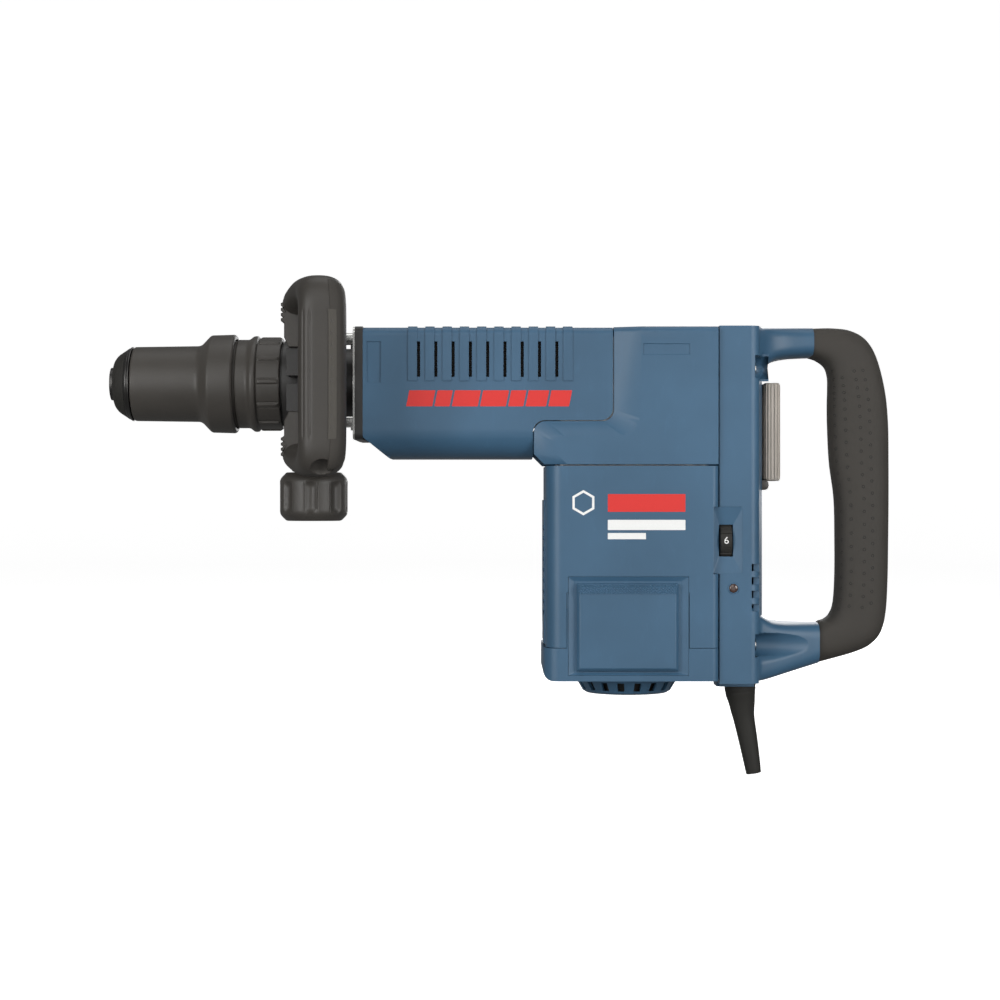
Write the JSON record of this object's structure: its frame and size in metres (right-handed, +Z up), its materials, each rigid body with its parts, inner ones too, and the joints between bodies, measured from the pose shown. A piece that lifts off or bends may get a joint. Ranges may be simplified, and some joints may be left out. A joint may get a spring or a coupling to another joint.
{
  "type": "electric jackhammer",
  "caption": "Electric demolition hammer with a chisel socket, upright motor, closed rear handle with a paddle switch, swivelling side handle and speed dial.",
  "frame": {"origin": "the tool socket's mouth, on the hammer axis", "axes": "+X from the socket's mouth along the hammer axis to the rear handle, +Z up from the motor to the hammer's top, +Y to the side away from the speed dial"},
  "size_m": [0.5959, 0.1856, 0.3707],
  "materials": {
    "casing_blue": "moulded glass-filled nylon, fine spark-eroded grain, deep blue",
    "black_plastic": "moulded nylon, matte black",
    "rubber": "soft over-moulded rubber, warm black",
    "black_metal": "cast aluminium, black powder coat",
    "bright_steel": "bright zinc-plated steel",
    "ground_steel": "ground and hardened steel",
    "cast_alloy": "as-cast magnesium-aluminium alloy",
    "field_steel": "stacked electrical steel",
    "copper": "enamelled copper windings and copper segments",
    "brass": "rolled brass",
    "carbon": "pressed carbon",
    "seal_rubber": "nitrile rubber",
    "grey_plastic": "warm light grey nylon, ribbed",
    "lens_red": "clear tinted lens, unlit",
    "spring_steel": "drawn spring wire"
  },
  "bodies": {
    "body": {"hammer_tube": "ground_steel", "ball_bearings": "ground_steel", "handle_grip": "rubber", "cord_sleeve": "rubber", "switch_block": "black_plastic", "control_module": "black_plastic", "brush_springs": "spring_steel", "paddle_spring": "spring_steel", "front_housing": "black_metal", "flange_plate": "bright_steel", "flange_bolts": "bright_steel", "handle_screws": "bright_steel", "paddle_pin": "bright_steel", "gear_housing": "cast_alloy", "bearing_bridge": "cast_alloy", "field_stack": "field_steel", "field_coils": "copper", "brush_holders": "brass", "carbon_brushes": "carbon", "hammer_cover": "casing_blue", "crank_cover": "casing_blue", "motor_housing": "casing_blue", "lower_cap": "casing_blue", "brush_cover_left": "casing_blue", "brush_cover_right": "casing_blue", "air_intake_grille": "casing_blue", "rear_frame": "casing_blue", "indicator_lens": "lens_red"},
    "tool_holder": {"tool_spindle": "ground_steel", "dust_cap": "rubber", "retaining_ring": "ground_steel", "index_wheel": "ground_steel", "sleeve_spring": "spring_steel", "ring_spring": "spring_steel"},
    "locking_sleeve": {"locking_sleeve": "black_plastic"},
    "locking_bar_upper": {"locking_bar_upper": "ground_steel"},
    "locking_bar_lower": {"locking_bar_lower": "ground_steel"},
    "indexing_ring": {"indexing_ring": "black_plastic"},
    "side_handle": {"clamp_band": "bright_steel", "side_handle_frame": "black_plastic", "side_grip": "rubber", "clamp_bolt": "bright_steel"},
    "knob_washer": {"knob_washer": "bright_steel"},
    "clamp_knob": {"clamp_knob": "black_plastic"},
    "impact_bolt": {"impact_bolt": "ground_steel"},
    "ram": {"ram": "ground_steel", "ram_seal": "seal_rubber"},
    "piston": {"piston": "cast_alloy", "piston_seal": "seal_rubber", "wrist_pin": "ground_steel"},
    "connecting_rod": {"connecting_rod": "cast_alloy"},
    "crank": {"crankshaft": "ground_steel", "crank_gear": "ground_steel"},
    "armature": {"armature_shaft": "ground_steel", "armature_core": "field_steel", "commutator": "copper", "cooling_fan": "black_plastic", "motor_pinion": "ground_steel"},
    "switch_paddle": {"switch_paddle": "grey_plastic"},
    "speed_dial": {"speed_dial": "black_plastic"}
  },
  "joints": [
    {"name": "tool_holder_turn", "type": "hinge", "parent": "body", "child": "tool_holder", "pos_m": [0, 0, 0], "axis": [1, 0, 0], "continuous": true},
    {"name": "locking_sleeve_draw", "type": "slide", "parent": "tool_holder", "child": "locking_sleeve", "axis": [1, 0, 0], "range_m": [0, 0.006], "stiffness_N_per_m": 1800, "springref_m": -0.008, "deforming": ["sleeve_spring"]},
    {"name": "locking_bar_upper_lift", "type": "slide", "parent": "tool_holder", "child": "locking_bar_upper", "axis": [0, 0, 1], "range_m": [0, 0.0025]},
    {"name": "locking_bar_lower_lift", "type": "slide", "parent": "tool_holder", "child": "locking_bar_lower", "axis": [0, 0, -1], "range_m": [0, 0.0025]},
    {"name": "indexing_ring_push", "type": "slide", "parent": "tool_holder", "child": "indexing_ring", "axis": [-1, 0, 0], "range_m": [0, 0.0035], "stiffness_N_per_m": 1500, "springref_m": -0.006, "deforming": ["ring_spring"]},
    {"name": "side_handle_swivel", "type": "hinge", "parent": "body", "child": "side_handle", "pos_m": [0.159, 0, 0], "axis": [1, 0, 0], "continuous": true},
    {"name": "knob_washer_travel", "type": "slide", "parent": "side_handle", "child": "knob_washer", "axis": [0, 0, -1], "range_m": [0, 0.0025]},
    {"name": "clamp_knob_turn", "type": "hinge", "parent": "knob_washer", "child": "clamp_knob", "pos_m": [0.1594, -0.048, -0.087], "axis": [0, 0, -1], "range_deg": [0, 720]},
    {"name": "impact_bolt_travel", "type": "slide", "parent": "body", "child": "impact_bolt", "axis": [1, 0, 0], "range_m": [-0.006, 0]},
    {"name": "ram_travel", "type": "slide", "parent": "body", "child": "ram", "axis": [1, 0, 0], "range_m": [-0.02, 0.015]},
    {"name": "piston_stroke", "type": "slide", "parent": "body", "child": "piston", "axis": [1, 0, 0], "range_m": [0, 0.03]},
    {"name": "connecting_rod_swing", "type": "hinge", "parent": "piston", "child": "connecting_rod", "pos_m": [0.33, 0, 0], "axis": [0, 0, 1], "range_deg": [-10.8, 10.8]},
    {"name": "armature_spin", "type": "hinge", "parent": "body", "child": "armature", "pos_m": [0.395, 0, -0.1], "axis": [0, 0, 1], "continuous": true},
    {"name": "crank_spin", "type": "hinge", "parent": "body", "child": "crank", "pos_m": [0.425, 0, -0.05], "axis": [0, 0, 1], "continuous": true},
    {"name": "paddle_press", "type": "hinge", "parent": "body", "child": "switch_paddle", "pos_m": [0.5, 0, -0.0778], "axis": [0, -1, 0], "range_deg": [0, 6], "stiffness_Nm_per_rad": 3.5, "springref_deg": -4.58, "deforming": ["paddle_spring"]},
    {"name": "speed_dial_turn", "type": "hinge", "parent": "body", "child": "speed_dial", "pos_m": [0.4666, -0.0336, -0.1193], "axis": [1, 0, 0], "range_deg": [-250, 0]}
  ],
  "couplings": [
    {"joint": "locking_bar_upper_lift", "follows": "locking_sleeve_draw", "ratio": 0.41667},
    {"joint": "locking_bar_lower_lift", "follows": "locking_sleeve_draw", "ratio": 0.41667},
    {"joint": "knob_washer_travel", "follows": "clamp_knob_turn", "m_per_rad": 0.00019894},
    {"joint": "crank_spin", "follows": "armature_spin", "ratio": -0.19048}
  ]
}
